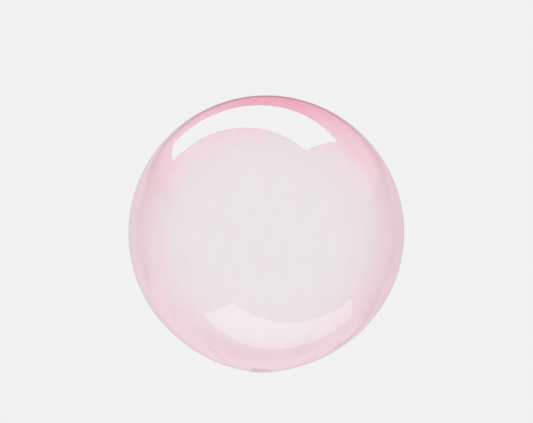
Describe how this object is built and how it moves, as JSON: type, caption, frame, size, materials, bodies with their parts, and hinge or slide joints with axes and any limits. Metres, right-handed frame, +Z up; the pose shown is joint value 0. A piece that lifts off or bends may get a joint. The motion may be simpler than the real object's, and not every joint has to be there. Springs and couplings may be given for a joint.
{
  "type": "clear film bubble balloon",
  "caption": "Round clear pink film balloon, blown up, with a flat filling neck folded back under it and a self-sealing film valve inside the neck.",
  "frame": {"origin": "root of the neck, on the balloon's axis, where a ribbon or clip takes hold", "axes": "+Z up the balloon's axis through the middle of the sphere, +Y the way the neck is folded back, +X across the neck"},
  "size_m": [0.4569, 0.457, 0.4602],
  "materials": {
    "stretched_film": "clear pink, high gloss",
    "neck_film": "clear pink, deeper because it is not stretched, gloss",
    "valve_film": "clear, satin, lightly embossed along its welds"
  },
  "bodies": {
    "envelope": {"envelope": "stretched_film"},
    "neck": {"neck": "neck_film", "valve_lower_ply": "valve_film", "valve_upper_ply": "valve_film"}
  },
  "joints": [
    {"name": "neck_fold", "type": "hinge", "parent": "envelope", "child": "neck", "pos_m": [0, 0, -0.00064], "axis": [-1, 0, 0], "range_deg": [0, 180]}
  ]
}
